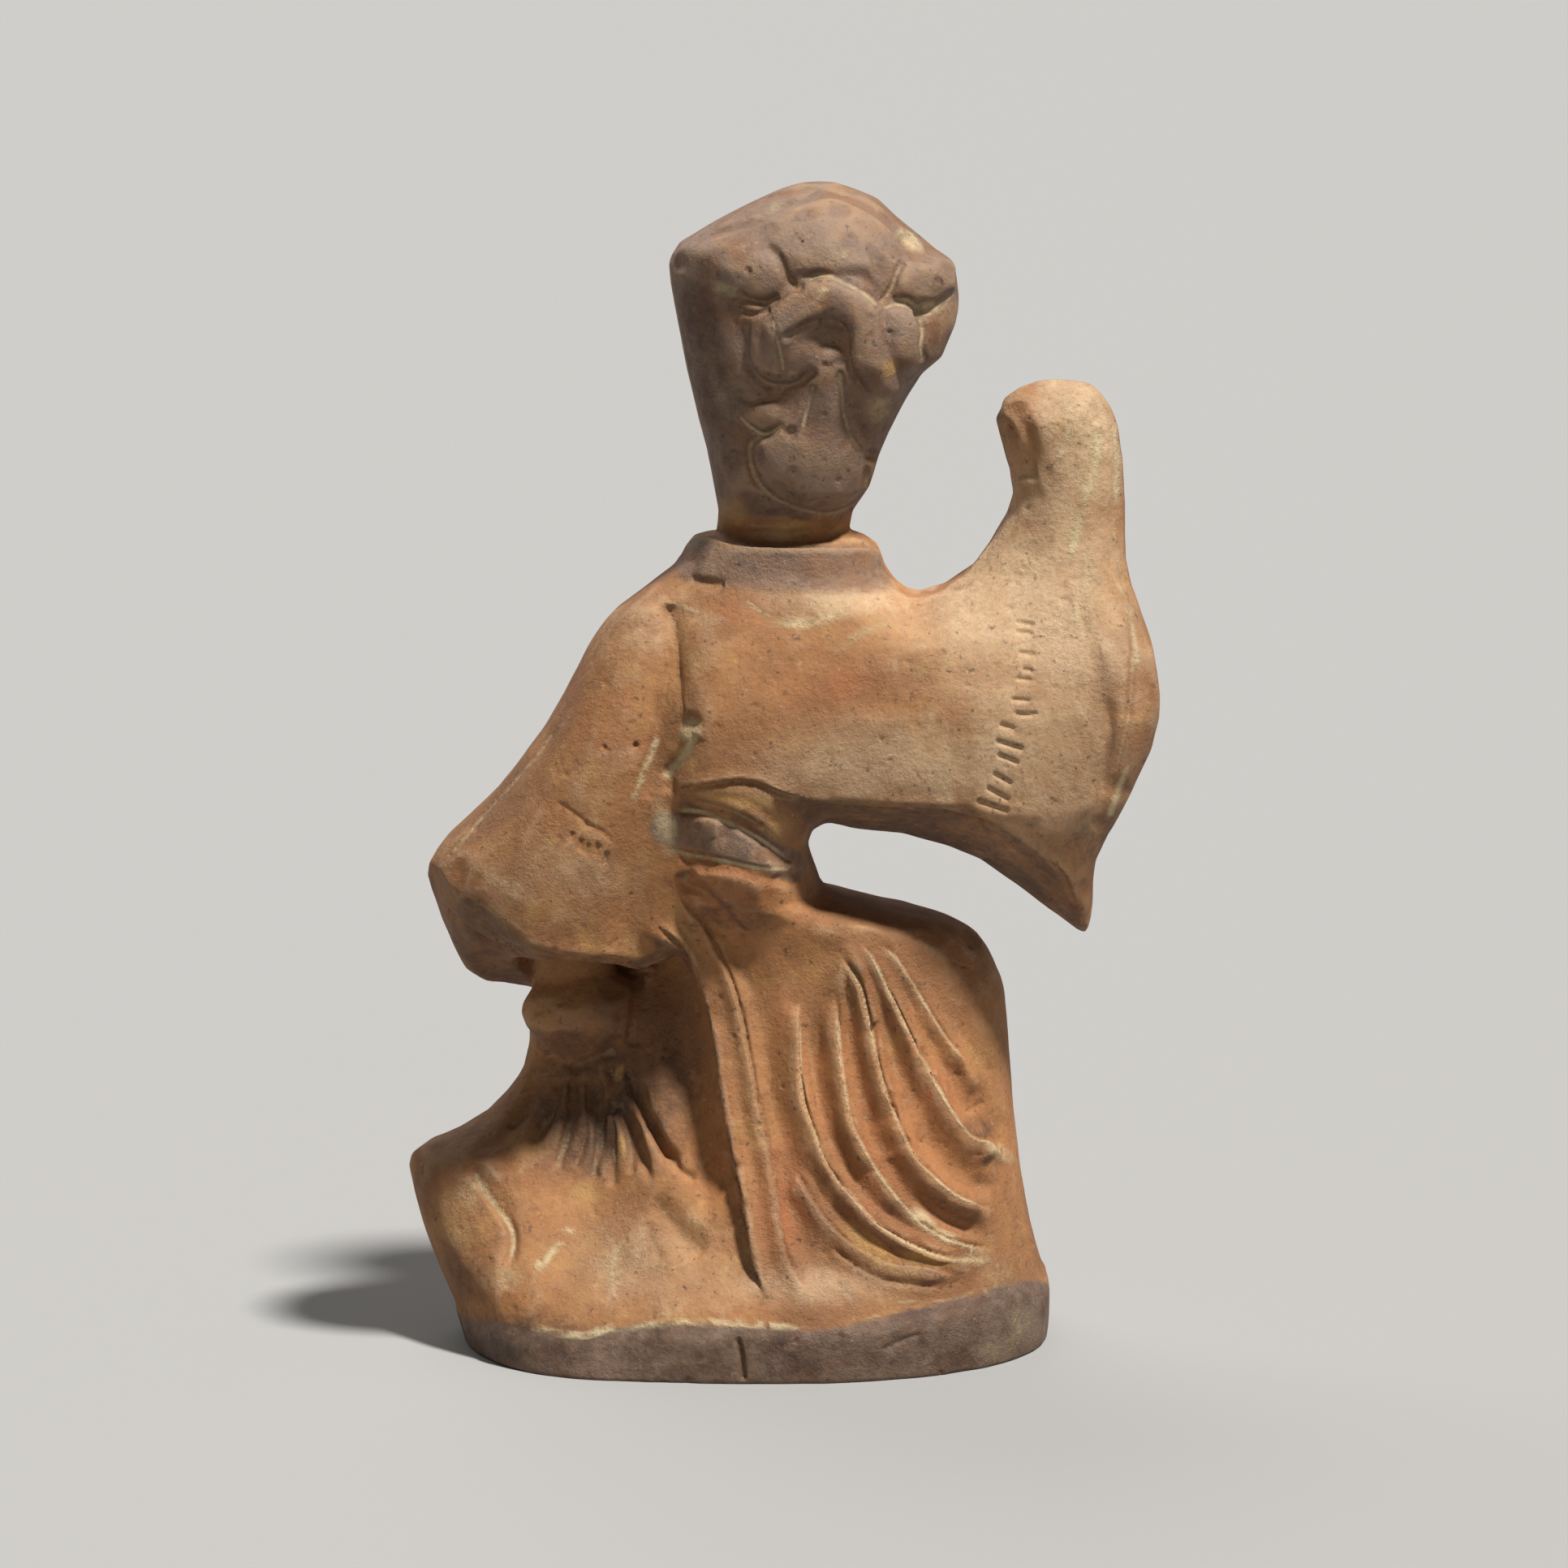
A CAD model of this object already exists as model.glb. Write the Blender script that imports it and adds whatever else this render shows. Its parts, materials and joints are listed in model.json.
"""Looks of a fired-clay dancer figure: its worked surface, its weathered finish and its stage."""

import json
import math
from collections import namedtuple

import bpy
import numpy as np
from bpy.props import FloatProperty, FloatVectorProperty, IntProperty, PointerProperty
from bpy.types import Operator, Panel, PropertyGroup
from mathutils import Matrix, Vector

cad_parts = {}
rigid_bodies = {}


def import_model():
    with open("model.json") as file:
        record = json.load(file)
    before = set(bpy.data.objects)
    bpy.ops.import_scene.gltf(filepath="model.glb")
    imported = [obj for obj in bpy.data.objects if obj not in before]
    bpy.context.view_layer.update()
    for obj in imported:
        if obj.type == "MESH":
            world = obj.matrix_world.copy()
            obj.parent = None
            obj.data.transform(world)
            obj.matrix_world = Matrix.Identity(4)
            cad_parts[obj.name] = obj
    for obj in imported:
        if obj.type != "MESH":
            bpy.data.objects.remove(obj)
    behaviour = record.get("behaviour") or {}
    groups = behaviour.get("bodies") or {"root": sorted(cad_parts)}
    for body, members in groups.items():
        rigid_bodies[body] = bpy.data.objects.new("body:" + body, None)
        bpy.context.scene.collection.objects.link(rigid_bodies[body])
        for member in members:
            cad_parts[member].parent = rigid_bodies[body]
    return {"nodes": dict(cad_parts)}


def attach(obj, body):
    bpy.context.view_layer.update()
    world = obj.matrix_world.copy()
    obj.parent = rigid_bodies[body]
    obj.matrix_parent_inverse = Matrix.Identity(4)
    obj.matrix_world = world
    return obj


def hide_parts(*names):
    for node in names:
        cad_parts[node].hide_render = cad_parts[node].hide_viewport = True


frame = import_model()

bl_info = {
    "name": "Pottery dancer figure",
    "version": (1, 0, 0),
    "blender": (4, 5, 0),
    "location": "View3D > Sidebar > Pottery",
    "description": "Models the worked and weathered clay of a pottery dancer figure",
    "category": "Object",
}

MM = 0.001
SOLID = "dancer_figure"
SEED = 7

# The figure is looked at from behind, a little from above. Lines on that side are drawn as [across, height]
# in millimetres, as the eye there sees them on the upright plane through the point it aims at.
AIM = (11.2, 0.0, 241.2)
EYE_DISTANCE = 3000.0
EYE_RISE = math.radians(8.5)
VIEW_WIDTH = 676.7
LAYER_CELL = 2.0
LAYER_DEPTH = 7.0
# How squarely clay has to face the eye for a line to begin to show on it, and to show in full.
BACK_FACING = (0.02, 0.3)
FRONT_FACING = (0.05, 0.4)
# How far strokes, streaks and spots reach, in their own widths, how sharp a spot's edge is, and the share
# of a line over which each of its ends fades.
STROKE_REACH = 2.6
STREAK_REACH = 2.5
SPOT_REACH = 2.2
SPOT_EDGE = 1.5
END_FADE = 0.1

Groove = namedtuple("Groove", "line depth width earth")
Pleat = namedtuple("Pleat", "line height climb groove earth")
Lock = namedtuple("Lock", "line width proud")
Lobe = namedtuple("Lobe", "at size proud turn")
Pit = namedtuple("Pit", "at radius depth")
Patch = namedtuple("Patch", "at size turn strength")
Streak = namedtuple("Streak", "line width strength")
Noise = namedtuple("Noise", "scale detail rough distortion")

# Skirt pleats: the cloth climbs to the line from one side and drops into a groove at it.
# A height above zero climbs from the right of a line drawn downwards, and one below zero from its left.
SKIRT_PLEATS = [
    Pleat([(-46, 181), (-39, 177), (-32, 170), (-25, 156), (-19, 132), (-14, 97), (-7, 63),
           (-2, 35), (4, 17)], 1.8, 9, 2.2, 0.15),
    Pleat([(-37, 195), (-30, 187), (-22, 177), (-11, 154), (-4, 124), (2, 92), (7, 68),
           (12, 38), (22, 20)], -1.8, 9, 1.8, 0.45),
    Pleat([(18, 148), (18, 132), (19, 107), (24, 92), (31, 75), (42, 61), (56, 48), (79, 37), (98, 35)],
          -2.4, 14, 2.0, 0.85),
    Pleat([(33, 152), (34, 143), (36, 120), (38, 108), (41, 93), (54, 70), (71, 51), (90, 42), (103, 40)],
          -2.4, 14, 2.1, 0.95),
    Pleat([(34, 168), (43, 156), (47, 142), (54, 112), (61, 94), (69, 79), (85, 64), (104, 56)],
          -2.4, 13, 2.0, 0.85),
    Pleat([(44, 174), (51, 163), (64, 136), (76, 113), (90, 91), (100, 86), (108, 78)], -2.2, 13, 1.9, 0.85),
    Pleat([(52, 172), (61, 164), (75, 141), (83, 129), (91, 120)], -1.2, 12, 1.1, 0.75),
    Pleat([(16, 75), (20, 67), (34, 48), (54, 35), (68, 32), (85, 29)], -1.8, 12, 1.4, 0.35),
    Pleat([(31, 41), (40, 34), (50, 28), (62, 25), (78, 23)], -1.0, 8, 1.0, 0.3),
    Pleat([(33, 27), (39, 22), (44, 15)], -0.7, 6, 0.7, 0.3),
]
# Edges of the sleeves, where cloth ends over a shadowed underside, and of the collar.
CLOTH_EDGES = [
    Pleat([(-40, 239), (-24, 241), (-10, 243), (0, 242), (10, 238), (26, 234), (52, 232), (79, 231),
           (92, 228), (101, 225), (111, 218), (122, 210), (130, 205), (135, 197), (140, 182)],
          1.0, 6, 1.6, 0.0),
    Pleat([(-137, 191), (-126, 181), (-111, 173), (-94, 170), (-80, 167), (-65, 167),
           (-54, 165), (-43, 158)], 1.0, 6, 1.8, 0.0),
    Pleat([(-27, 347), (-20, 347), (-8, 344), (12, 343), (33, 343), (51, 343)], -0.9, 5, 1.4, 0.2),
]
# How wide the drop behind a pleat or an edge is, and how far its crest is blunted.
DROP_WIDTH = 2.0
DROP_BLUNT = 0.5
# Cut and pressed lines: how deep, how wide to each side and how much pale earth is left in them.
BACK_GROOVES = [
    Groove([(-35, 204), (-26, 199), (-19, 192), (-12, 184), (-4, 174)], 0.5, 1.4, 0.3),
    Groove([(-37, 230), (-24, 229), (-12, 224), (0, 218), (10, 211), (15, 207)], 0.9, 1.6, 0.9),
    Groove([(-42, 214), (-31, 211), (-15, 208), (0, 205), (17, 204)], 0.9, 1.5, 1.0),
    Groove([(-29, 234), (-16, 231), (-4, 226), (6, 219), (12, 212)], 0.4, 1.4, 0.5),
    Groove([(-20, 236), (-6, 234), (3, 229), (11, 223)], 0.5, 1.8, 0.1),
    Groove([(-36, 228), (-36, 213)], 0.5, 0.9, 0.8),
    Groove([(-29, 214), (-22, 217), (-11, 218), (0, 213)], 0.25, 0.8, 0.3),
    Groove([(-36, 314), (-35, 302), (-34, 286), (-33, 275), (-31, 268)], 0.7, 1.2, 0.5),
    Groove([(-26, 263), (-33, 252), (-41, 243)], 1.6, 3.2, 0.0),
    Groove([(-88, 234), (-80, 229), (-72, 223), (-66, 220), (-61, 214)], 0.6, 1.0, 0.2),
    Groove([(-86, 268), (-94, 255), (-108, 239), (-118, 228), (-129, 215), (-135, 208)], 0.9, 1.6, 0.7),
    Groove([(-123, 76), (-121, 71), (-116, 63), (-110, 55), (-106, 48), (-106, 39), (-109, 33)],
           1.8, 2.0, 0.9),
    Groove([(-43, 59), (-36, 50), (-30, 43), (-23, 38)], 0.9, 3.4, 0.3),
    Groove([(-48, 53), (-45, 42), (-41, 34)], 0.6, 2.4, 0.2),
    Groove([(-16, 350), (-3, 348), (18, 348), (36, 349)], 2.4, 2.6, 0.1),
    Groove([(-30, 330), (-21, 328), (-14, 327)], 1.8, 2.0, 0.5),
    Groove([(-6, 321), (3, 314), (10, 314)], 0.6, 1.6, 0.6),
    Groove([(-54, 163), (-52, 153), (-53, 140), (-55, 127)], 2.4, 2.6, 0.2),
    Groove([(-93, 125), (-81, 119), (-71, 122), (-60, 126)], 2.4, 2.4, 0.3),
    Groove([(-9, 3), (-7, -7), (-6, -17)], 2.0, 1.1, 0.0),
    Groove([(53, -3), (62, 1), (71, 4)], 0.8, 0.9, 0.3),
    Groove([(89, 99), (93, 101), (98, 104)], 0.6, 1.3, 0.2),
    Groove([(119, 42), (122, 46)], 2.0, 1.8, 0.0),
    Groove([(108, 407), (113, 398), (117, 390), (117, 382), (115, 371)], 1.6, 4.5, 0.1),
    Groove([(148, 395), (145, 380), (139, 365), (137, 352), (134, 340)], 0.8, 2.6, 0.5),
    Groove([(137, 332), (139, 320), (142, 305)], 0.8, 2.2, 0.5),
    Groove([(148, 408), (152, 399), (155, 385), (154, 365), (154, 348), (157, 331), (162, 313), (161, 281),
            (159, 266), (155, 250), (151, 238)], 1.0, 1.8, 0.6),
    Groove([(149, 280), (152, 264), (150, 249), (149, 235)], 1.0, 2.0, 0.3),
]
# Short strokes cut in the clay along the raised sleeve's cuff and by the lowered sleeve's cuff.
CUFF_STROKES = [
    [(111, 311), (120, 310)], [(111, 307), (119, 306)], [(112, 298), (120, 297)], [(114, 291), (119, 290)],
    [(111, 287), (118, 286)], [(109, 278), (118, 277)], [(110, 272), (116, 271), (121, 272)],
    [(104, 267), (111, 265)], [(102, 260), (115, 256)], [(103, 254), (113, 250)], [(101, 246), (110, 241)],
    [(98, 240), (109, 234)], [(94, 234), (109, 229)],
    [(-80, 221), (-81, 217)], [(-76, 218), (-77, 212)], [(-73, 216), (-74, 210)], [(-69, 216), (-70, 210)],
    [(-65, 212), (-66, 206)],
]
STROKE_DEPTH = 1.1
STROKE_WIDTH = 1.1
# Gathers that fan out below the hand.
FAN_GROOVES = [
    [(-92, 116), (-96, 106), (-101, 98), (-108, 92)], [(-85, 115), (-88, 103), (-93, 92), (-98, 85)],
    [(-80, 115), (-80, 100), (-84, 85), (-87, 74)], [(-74, 115), (-73, 100), (-76, 85), (-80, 75)],
    [(-69, 115), (-68, 100), (-69, 85), (-72, 69)], [(-63, 107), (-63, 95), (-63, 79), (-63, 66)],
    [(-61, 106), (-57, 95), (-55, 85), (-55, 72)], [(-59, 115), (-53, 95), (-49, 79), (-47, 69)],
    [(-55, 116), (-49, 100), (-43, 88), (-37, 79)], [(-48, 97), (-41, 85), (-34, 75), (-26, 70)],
]
FAN_DEPTH = 1.7
FAN_WIDTH = 2.0
# The dressed hair: rounded locks, their cut edges and its knots' holes.
HAIR_LOBES = [
    Lobe((33, 477), (36, 22), 1.4, 0.0),
    Lobe((-1, 461), (18, 15), 0.8, 0.0),
    Lobe((73, 459), (18, 12), 0.9, 0.1),
    Lobe((10, 428), (19, 15), 1.4, 0.3),
    Lobe((61, 433), (14, 18), 1.4, 0.2),
    Lobe((2, 401), (17, 10), 0.8, 0.1),
    Lobe((24, 382), (30, 27), 1.2, 0.0),
]
HAIR_LOCKS = [
    Lock([(11, 437), (18, 444), (24, 450), (31, 453), (40, 449), (46, 442), (47, 434), (48, 426), (53, 414)],
         11.0, 2.2),
    Lock([(-3, 445), (-2, 432), (4, 420), (14, 416)], 6.5, 1.5),
    Lock([(-16, 449), (-14, 436), (-9, 421)], 6.0, 0.8),
    Lock([(31, 420), (30, 405), (28, 388)], 11.0, 1.0),
]
HAIR_GROOVES = [
    Groove([(-26, 476), (-10, 481), (-1, 483), (8, 489), (18, 492), (30, 495), (43, 491),
            (56, 483), (64, 475)], 0.8, 1.4, 0.3),
    Groove([(3, 473), (9, 469), (12, 461), (17, 455), (20, 458)], 1.6, 1.9, 0.3),
    Groove([(52, 448), (57, 454), (60, 462), (63, 467)], 1.4, 1.7, 0.6),
    Groove([(-9, 455), (-5, 451), (3, 449), (10, 452)], 1.3, 1.8, 0.4),
    Groove([(-8, 446), (-1, 444), (6, 446)], 1.2, 1.6, 0.3),
    Groove([(56, 450), (64, 450), (72, 446), (82, 451), (86, 455)], 1.3, 1.8, 0.8),
    Groove([(68, 446), (71, 438), (70, 430), (72, 423)], 1.2, 1.7, 0.8),
    Groove([(8, 437), (10, 434), (16, 437), (25, 441), (33, 440), (38, 436), (39, 426), (42, 417), (49, 409),
            (57, 411)], 1.8, 2.0, 0.3),
    Groove([(20, 458), (28, 461), (38, 457), (48, 451), (52, 446)], 1.3, 1.8, 0.8),
    Groove([(-5, 443), (-5, 432), (-3, 421), (5, 414), (16, 414), (26, 421)], 1.8, 2.1, 0.4),
    Groove([(6, 443), (8, 434), (10, 426), (11, 417)], 0.8, 1.5, 0.8),
    Groove([(27, 422), (32, 422), (37, 425)], 0.9, 1.5, 0.4),
    Groove([(53, 446), (60, 448), (68, 445), (71, 436)], 1.0, 1.5, 0.8),
    Groove([(-11, 411), (-3, 406), (7, 408), (14, 414)], 1.1, 1.7, 0.3),
    Groove([(-9, 401), (-3, 395), (4, 392), (12, 397)], 0.9, 1.5, 0.7),
    Groove([(24, 414), (22, 406), (19, 394)], 0.6, 1.5, 0.8),
    Groove([(35, 421), (36, 412), (37, 401), (41, 389), (46, 384)], 0.9, 1.6, 0.8),
    Groove([(12, 397), (4, 392), (-3, 388), (-3, 379), (2, 369), (12, 362), (26, 358), (36, 359), (45, 365),
            (47, 375), (47, 383)], 1.4, 1.9, 0.6),
]
# Lines on the front, as [x, height]: the crossed robe, its belt, the sleeves, the combed hair and the face.
FRONT_GROOVES = [
    Groove([(52, 338), (28, 300), (-14, 262), (-38, 236)], 1.6, 1.6, 0.4),
    Groove([(46, 338), (22, 304), (-20, 268), (-42, 244)], 1.0, 1.4, 0.3),
    Groove([(-28, 336), (-6, 312), (6, 296)], 1.4, 1.5, 0.3),
    Groove([(-44, 236), (0, 232), (24, 228)], 1.4, 1.6, 0.5),
    Groove([(-42, 214), (0, 211), (24, 208)], 1.4, 1.6, 0.5),
    Groove([(-34, 318), (-36, 280), (-44, 230), (-48, 190)], 1.8, 2.2, 0.3),
    Groove([(-70, 290), (-84, 250), (-92, 200)], 1.2, 2.4, 0.2),
    Groove([(70, 306), (104, 286), (140, 290)], 1.2, 2.4, 0.2),
    Groove([(60, 270), (100, 254), (146, 262)], 1.2, 2.4, 0.2),
    Groove([(15, 496), (14, 474), (12, 450)], 1.4, 1.5, 0.3),
    Groove([(9, 488), (-8, 474), (-20, 450), (-23, 425)], 1.2, 1.5, 0.3),
    Groove([(22, 488), (42, 474), (56, 450), (58, 425)], 1.2, 1.5, 0.3),
    Groove([(7, 472), (-4, 462), (-12, 448)], 1.0, 1.3, 0.2),
    Groove([(22, 472), (33, 462), (40, 448)], 1.0, 1.3, 0.2),
    Groove([(-24, 466), (-30, 446), (-25, 415)], 1.0, 1.4, 0.2),
    Groove([(62, 466), (68, 446), (58, 415)], 1.0, 1.4, 0.2),
    Groove([(-8, 389.5), (0, 390.5), (9, 389.5)], 0.9, 0.9, 0.0),
]
# Folds of the skirt's front: from, to and height at the top and at the foot, and the cut's depth, width and
# earth.
FRONT_FOLDS = 7
FOLD_TOP = (-34.0, 24.0, 208.0)
FOLD_FOOT = (-92.0, 104.0, 34.0)
FOLD_BEND = 0.35
FOLD_CUT = (1.6, 1.9, 0.4)
# The face looks out at this angle from straight ahead, below the hairline.
FACE_AXIS = (11.0, 2.0)
FACE_TURN = 0.22
FACE_FRONT = (14.0, 20.0)
FACE_HALF = 31.0
FACE_EDGE = 3.0
HAIRLINE = 451.0
HAIRLINE_ARCH = 0.012
HAIRLINE_EDGE = 2.0
# Lids and brow of each eye: how far the middle of the line rises, the share of that at its ends, its depth.
EYE_PLACES = [(-11.0, 417.0), (13.5, 417.0)]
EYE_LINES = [(3.6, 0.0, 0.7), (-3.0, 0.0, 0.5), (9.5, 0.7, 0.5)]
EYE_HALF = 6.4
EYE_CUT_WIDTH = 0.9
# Pits and chips, and how many small pits are scattered between them.
PITS = [
    Pit((-4, 462.6), 1.3, 1.2), Pit((56.5, 436), 1.3, 1.2), Pit((64, 476), 3.0, 2.2),
    Pit((72, 446), 4.0, 2.4), Pit((-29, 268), 4.0, 2.2), Pit((-52.7, 258), 1.2, 2.2),
    Pit((-66.6, 257), 1.3, 1.2), Pit((49, 278), 9.0, 1.0), Pit((155, 240), 4.5, 1.0),
    Pit((147, 224), 3.0, 0.8), Pit((140, 196), 3.5, 0.8), Pit((-35, 466), 4.0, 1.6),
    Pit((14, 393), 2.6, 1.5), Pit((49, 383), 2.8, 2.0), Pit((-38, 240), 3.0, 1.6),
]
SCATTERED_PITS = 420
PIT_RADIUS = (0.7, 1.6)
PIT_DEPTH = (0.2, 0.6)
# Places where hard edges were rubbed soft while the clay was damp.
SOFT_PATCHES = [
    Patch((-74, 224), (22, 14), -0.6, 1.0), Patch((-34, 47), (20, 16), -0.7, 0.8),
    Patch((94, 101), (14, 9), 0.3, 1.0), Patch((-106, 55), (16, 26), 0.3, 0.5),
]
SOFT_PASSES = 60
# Waves that pressing by hand leaves: how many, how long, and how fast the short ones grow weaker.
HAND_WAVES = 40
WAVE_LENGTHS = (9.0, 60.0)
WAVE_FALL = 0.7
WAVE_HEIGHT = 2.0
# Clay that faces down this squarely and lies this low is the flat foot.
FOOT_FACING = -0.9
FOOT_HEIGHT = 1.5
MERGE_DISTANCE = 0.01 * MM

# Colour on the clay: places with earth, yellow ochre, redder clay, a pale film or soot.
EARTH_PATCHES = [
    Patch((-124, 64), (10, 11), 0.3, 0.5), Patch((-115, 73), (8, 4), -0.5, 0.45),
    Patch((-130, 48), (8, 12), 0.3, 0.4), Patch((-110, 28), (15, 9), 0.3, 0.48),
    Patch((66, 476), (9, 5), -0.6, 0.8), Patch((72, 446), (8, 4), 0.2, 0.9),
    Patch((-29, 264), (7, 6), 0.9, 0.8), Patch((-20, 312), (10, 4), -0.2, 0.4),
    Patch((20, 312), (20, 4), 0.1, 0.7), Patch((45, 306), (20, 4), 0.5, 0.6),
    Patch((-40, 222), (6, 14), 0.2, 0.8), Patch((71, 53), (9, 4), -0.7, 1.0),
    Patch((80, 46), (8, 3), -0.4, 1.0), Patch((92, 36), (10, 3), -0.1, 0.8),
    Patch((105, 82), (9, 4), -0.6, 0.8), Patch((52, 403), (9, 9), -0.9, 0.7),
    Patch((-14, 455), (7, 4), -0.3, 0.8), Patch((-16, 408), (4, 6), 0, 0.6),
    Patch((26, 320), (30, 5), 0.1, 0.4), Patch((-60, 35), (22, 18), 0, 0.32),
    Patch((-105, 195), (16, 5), -0.4, 0.6), Patch((143, 330), (4, 22), 0, 0.6),
    Patch((137, 352), (4, 14), -0.2, 0.7), Patch((145, 385), (4, 10), 0, 0.6),
    Patch((104, 30), (14, 14), 0, 0.4), Patch((115, 8), (10, 12), 0.3, 0.5),
    Patch((8, 348), (20, 4), 0, 0.5), Patch((-30, -8), (18, 3), 0, 0.4),
    Patch((40, -12), (14, 3), 0, 0.4), Patch((102, -2), (14, 8), 0.2, 0.5),
    Patch((7, 490), (6, 3), 0.5, 0.7), Patch((35, 470), (5, 3), 0, 0.9),
    Patch((28, 454), (3, 2), 0, 0.8),
]
OCHRE_PATCHES = [
    Patch((-60, 116), (2.5, 5), -0.4, 1.0), Patch((-59, 85), (2.5, 10), 0, 1.0),
    Patch((-75, 64), (8, 7), 0, 1.0), Patch((132, 394), (3.2, 14), 0.2, 1.0),
    Patch((57, 421), (4, 5), 0, 1.0), Patch((-6, 234), (22, 5), -0.2, 0.9),
    Patch((10, 222), (8, 8), -0.8, 0.8), Patch((47, 42), (22, 6), -0.7, 0.9),
    Patch((72, 36), (18, 4), -0.15, 0.9), Patch((60, 129), (6, 6), 0, 0.9),
    Patch((58, 64), (10, 6), -0.8, 0.6), Patch((-33, 253), (4, 11), 0.65, 0.9),
    Patch((-12, 358), (10, 9), 0, 0.8), Patch((20, 352), (26, 4), 0, 0.7),
    Patch((18, 489), (3, 2), 0, 1.0), Patch((51, 468), (1.6, 5), -0.5, 0.9),
    Patch((27, 446), (1, 2.4), 0, 1.0), Patch((-70, 240), (10, 24), 0.3, 0.5),
    Patch((-95, 88), (18, 12), 0, 0.5), Patch((-118, 60), (16, 12), 0, 0.5),
]
RED_PATCHES = [
    Patch((60, 85), (55, 70), 0, 0.7), Patch((-15, 195), (22, 14), -0.4, 1.0),
    Patch((10, 60), (14, 45), 0, 0.9), Patch((-18, 85), (12, 50), 0.1, 0.7),
    Patch((30, 282), (34, 12), 0.1, 0.6), Patch((-60, 270), (22, 26), 0.4, 0.4),
    Patch((118, 398), (9, 14), 0, 0.6), Patch((20, 487), (46, 8), 0, 0.5),
]
PALE_PATCHES = [
    Patch((132, 392), (14, 30), 0.1, 1.0), Patch((104, 262), (16, 40), 0, 0.9),
    Patch((118, 6), (14, 12), 0.3, 0.9), Patch((110, 330), (56, 70), 0.3, 1.0),
    Patch((120, 260), (40, 60), 0, 0.8), Patch((60, 250), (60, 22), 0, 0.8),
    Patch((140, 385), (22, 40), 0, 1.0), Patch((40, 322), (40, 10), 0, 0.8),
    Patch((-45, 35), (45, 26), 0, 0.45), Patch((-45, 310), (18, 14), 0.5, 0.5),
    Patch((-80, 200), (30, 12), 0, 0.4), Patch((20, 25), (50, 10), 0, 0.6),
]
SOOT_PATCHES = [
    Patch((-24, 425), (13, 70), 0.12, 0.75), Patch((-17, 380), (9, 26), 0, 0.6),
    Patch((-104, 0), (38, 14), 0, 1.0), Patch((-40, 108), (18, 40), -0.15, 0.7),
    Patch((-72, 102), (34, 34), 0, 1.0), Patch((8, 285), (38, 24), 0, 0.22),
    Patch((-70, 140), (26, 26), 0, 0.5), Patch((95, 92), (9, 6), -0.4, 0.8),
    Patch((60, 58), (8, 5), -0.8, 0.7), Patch((-30, 430), (8, 60), 0.15, 0.7),
    Patch((-12, 350), (18, 10), 0, 0.3), Patch((150, 265), (8, 40), 0, 0.4),
    Patch((132, 195), (12, 14), 0, 0.5), Patch((-25, 343), (5, 10), 0, 0.7),
    Patch((-125, 30), (14, 18), 0, 0.6),
]
COLOUR_PATCHES = {
    "ochre": OCHRE_PATCHES,
    "red_clay": RED_PATCHES,
    "pale_film": PALE_PATCHES,
    "soot": SOOT_PATCHES,
}
EARTH_STREAKS = [
    Streak([(-42, 264), (-47, 252), (-52, 239), (-56, 230)], 1.8, 0.9),
    Streak([(-79, 51), (-85, 44), (-91, 37), (-97, 30)], 2.0, 1.0),
    Streak([(-59, 47), (-62, 35), (-64, 19)], 2.2, 0.7),
    Streak([(-41, 320), (-31, 317), (-22, 315)], 1.4, 0.8),
    Streak([(12, 310), (23, 310), (31, 313), (39, 315)], 2.6, 0.8),
    Streak([(31, 299), (43, 305), (52, 309), (57, 316)], 2.2, 0.6),
    Streak([(-26, 263), (-33, 252), (-41, 243)], 2.4, 1.0),
    Streak([(-105, 8), (-78, 3), (-62, 6), (-36, 9), (-9, 8), (27, 6)], 1.8, 1.0),
    Streak([(39, 10), (50, 11), (60, 17), (79, 18), (95, 22), (112, 28)], 1.4, 0.6),
    Streak([(133, 334), (137, 348), (141, 365), (146, 380), (147, 396)], 2.6, 1.0),
    Streak([(129, 380), (134, 394), (133, 407)], 2.0, 1.0),
    Streak([(153, 398), (155, 380), (154, 360)], 1.6, 0.9),
    Streak([(137, 322), (138, 308)], 1.8, 0.8),
    Streak([(155, 330), (161, 312), (164, 290)], 1.6, 0.8),
    Streak([(151, 226), (156, 240), (160, 250)], 1.8, 1.0),
]
# Where grey slip lies: the belt, the collar, the hair and the base's rim, which runs level at the front.
BELT_BAND = [(-40, 222), (-26, 220), (-12, 216), (2, 211), (14, 206)]
BELT_WIDTH = 8.0
BELT_SHARPNESS = 6.0
COLLAR_BAND = [(-27, 338), (0, 335), (30, 334), (52, 335)]
COLLAR_WIDTH = 13.0
COLLAR_SHARPNESS = 4.0
COLLAR_SLIP = 0.8
HAIR_LOW = 352.0
HAIR_FADE = 14.0
HAIR_RIGHT = 98.0
HAIR_EDGE = 4.0
RIM_LINE = [(-130, 12), (-105, 9), (-78, 4), (-50, 9), (-9, 8), (27, 6), (50, 11), (79, 18), (112, 27),
            (130, 30)]
FRONT_RIM = 20.0
RIM_TURN = (-45.0, 25.0)
RIM_EDGE = (-1.5, 2.5)
RIM_SOOT = 0.75
# Hollows keep earth: how often the clay is evened to find them, and how deep they are.
HOLLOW_PASSES = 12
HOLLOW_DEPTHS = (0.08, 0.5)
HOLLOW_EARTH = 0.4
GROOVE_EARTH_WIDTH = 0.7
PLEAT_LINE_WIDTH = 1.0
# Soot under the sleeves and in the pleats.
UNDERSIDE_SOOT = 0.75
UNDERSIDE_FACING = (0.05, 0.6)
PLEAT_SOOT = 0.9
# The fill light's rise, turn from the eye and spread.
FILL_PLACE = (math.radians(42.0), math.radians(205.0), math.radians(50.0))
SKY_TINT = (1.0, 0.98, 0.95, 1.0)
FLOOR_ROUGHNESS = 0.9
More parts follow.
